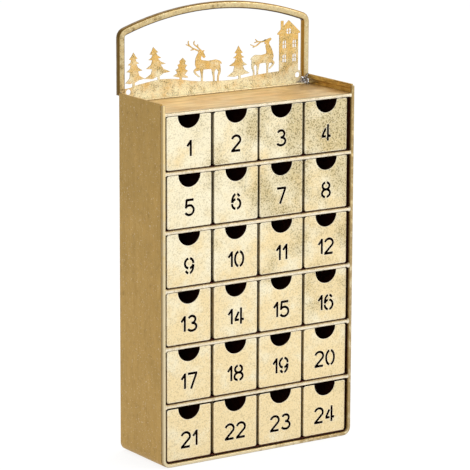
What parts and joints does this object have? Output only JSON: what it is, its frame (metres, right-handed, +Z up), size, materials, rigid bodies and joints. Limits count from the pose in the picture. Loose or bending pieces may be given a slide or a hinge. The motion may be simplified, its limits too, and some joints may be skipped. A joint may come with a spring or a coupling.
{
  "type": "advent calendar cabinet",
  "caption": "Sheet metal cabinet with a grid of small numbered pull-out drawers, a shallow tray on top and a pierced winter scene under an arched bar behind it.",
  "frame": {"origin": "bottom centre of the bounding box, crest bar included", "axes": "+Z up, front with the drawers towards -Y, +X to the right seen from the front"},
  "size_m": [0.25, 0.0954, 0.4902],
  "materials": {
    "shell_gold": "antique gold coat, brushed on, satin",
    "rim_gold": "bright champagne gold, rubbed and scratched",
    "tray_gold": "warm gold coat, satin",
    "inner_gold": "dark brown lacquer, satin",
    "drawer_gold": "mottled champagne gold leaf look",
    "crest_gold": "speckled champagne gold",
    "solder": "silvery solder under a thin gold coat"
  },
  "bodies": {
    "cabinet": {"outer_shell": "shell_gold", "back_panel": "shell_gold", "front_rim": "rim_gold", "top_rail": "rim_gold", "shelf_rail_1": "rim_gold", "shelf_rail_2": "rim_gold", "shelf_rail_3": "rim_gold", "shelf_rail_4": "rim_gold", "shelf_rail_5": "rim_gold", "top_panel": "tray_gold", "floor_panel": "inner_gold", "shelf_1": "inner_gold", "shelf_2": "inner_gold", "shelf_3": "inner_gold", "shelf_4": "inner_gold", "shelf_5": "inner_gold", "divider_1": "inner_gold", "divider_2": "inner_gold", "divider_3": "inner_gold", "crest_frame": "crest_gold", "crest_plate": "crest_gold", "solder_left": "solder", "solder_right": "solder"},
    "drawer_01_box": {"drawer_01": "drawer_gold"},
    "drawer_02_box": {"drawer_02": "drawer_gold"},
    "drawer_03_box": {"drawer_03": "drawer_gold"},
    "drawer_04_box": {"drawer_04": "drawer_gold"},
    "drawer_05_box": {"drawer_05": "drawer_gold"},
    "drawer_06_box": {"drawer_06": "drawer_gold"},
    "drawer_07_box": {"drawer_07": "drawer_gold"},
    "drawer_08_box": {"drawer_08": "drawer_gold"},
    "drawer_09_box": {"drawer_09": "drawer_gold"},
    "drawer_10_box": {"drawer_10": "drawer_gold"},
    "drawer_11_box": {"drawer_11": "drawer_gold"},
    "drawer_12_box": {"drawer_12": "drawer_gold"},
    "drawer_13_box": {"drawer_13": "drawer_gold"},
    "drawer_14_box": {"drawer_14": "drawer_gold"},
    "drawer_15_box": {"drawer_15": "drawer_gold"},
    "drawer_16_box": {"drawer_16": "drawer_gold"},
    "drawer_17_box": {"drawer_17": "drawer_gold"},
    "drawer_18_box": {"drawer_18": "drawer_gold"},
    "drawer_19_box": {"drawer_19": "drawer_gold"},
    "drawer_20_box": {"drawer_20": "drawer_gold"},
    "drawer_21_box": {"drawer_21": "drawer_gold"},
    "drawer_22_box": {"drawer_22": "drawer_gold"},
    "drawer_23_box": {"drawer_23": "drawer_gold"},
    "drawer_24_box": {"drawer_24": "drawer_gold"}
  },
  "joints": [
    {"name": "drawer_01_slide", "type": "slide", "parent": "cabinet", "child": "drawer_01_box", "axis": [0, -1, 0], "range_m": [0, 0.088]},
    {"name": "drawer_02_slide", "type": "slide", "parent": "cabinet", "child": "drawer_02_box", "axis": [0, -1, 0], "range_m": [0, 0.088]},
    {"name": "drawer_03_slide", "type": "slide", "parent": "cabinet", "child": "drawer_03_box", "axis": [0, -1, 0], "range_m": [0, 0.088]},
    {"name": "drawer_04_slide", "type": "slide", "parent": "cabinet", "child": "drawer_04_box", "axis": [0, -1, 0], "range_m": [0, 0.088]},
    {"name": "drawer_05_slide", "type": "slide", "parent": "cabinet", "child": "drawer_05_box", "axis": [0, -1, 0], "range_m": [0, 0.088]},
    {"name": "drawer_06_slide", "type": "slide", "parent": "cabinet", "child": "drawer_06_box", "axis": [0, -1, 0], "range_m": [0, 0.088]},
    {"name": "drawer_07_slide", "type": "slide", "parent": "cabinet", "child": "drawer_07_box", "axis": [0, -1, 0], "range_m": [0, 0.088]},
    {"name": "drawer_08_slide", "type": "slide", "parent": "cabinet", "child": "drawer_08_box", "axis": [0, -1, 0], "range_m": [0, 0.088]},
    {"name": "drawer_09_slide", "type": "slide", "parent": "cabinet", "child": "drawer_09_box", "axis": [0, -1, 0], "range_m": [0, 0.088]},
    {"name": "drawer_10_slide", "type": "slide", "parent": "cabinet", "child": "drawer_10_box", "axis": [0, -1, 0], "range_m": [0, 0.088]},
    {"name": "drawer_11_slide", "type": "slide", "parent": "cabinet", "child": "drawer_11_box", "axis": [0, -1, 0], "range_m": [0, 0.088]},
    {"name": "drawer_12_slide", "type": "slide", "parent": "cabinet", "child": "drawer_12_box", "axis": [0, -1, 0], "range_m": [0, 0.088]},
    {"name": "drawer_13_slide", "type": "slide", "parent": "cabinet", "child": "drawer_13_box", "axis": [0, -1, 0], "range_m": [0, 0.088]},
    {"name": "drawer_14_slide", "type": "slide", "parent": "cabinet", "child": "drawer_14_box", "axis": [0, -1, 0], "range_m": [0, 0.088]},
    {"name": "drawer_15_slide", "type": "slide", "parent": "cabinet", "child": "drawer_15_box", "axis": [0, -1, 0], "range_m": [0, 0.088]},
    {"name": "drawer_16_slide", "type": "slide", "parent": "cabinet", "child": "drawer_16_box", "axis": [0, -1, 0], "range_m": [0, 0.088]},
    {"name": "drawer_17_slide", "type": "slide", "parent": "cabinet", "child": "drawer_17_box", "axis": [0, -1, 0], "range_m": [0, 0.088]},
    {"name": "drawer_18_slide", "type": "slide", "parent": "cabinet", "child": "drawer_18_box", "axis": [0, -1, 0], "range_m": [0, 0.088]},
    {"name": "drawer_19_slide", "type": "slide", "parent": "cabinet", "child": "drawer_19_box", "axis": [0, -1, 0], "range_m": [0, 0.088]},
    {"name": "drawer_20_slide", "type": "slide", "parent": "cabinet", "child": "drawer_20_box", "axis": [0, -1, 0], "range_m": [0, 0.088]},
    {"name": "drawer_21_slide", "type": "slide", "parent": "cabinet", "child": "drawer_21_box", "axis": [0, -1, 0], "range_m": [0, 0.088]},
    {"name": "drawer_22_slide", "type": "slide", "parent": "cabinet", "child": "drawer_22_box", "axis": [0, -1, 0], "range_m": [0, 0.088]},
    {"name": "drawer_23_slide", "type": "slide", "parent": "cabinet", "child": "drawer_23_box", "axis": [0, -1, 0], "range_m": [0, 0.088]},
    {"name": "drawer_24_slide", "type": "slide", "parent": "cabinet", "child": "drawer_24_box", "axis": [0, -1, 0], "range_m": [0, 0.088]}
  ]
}
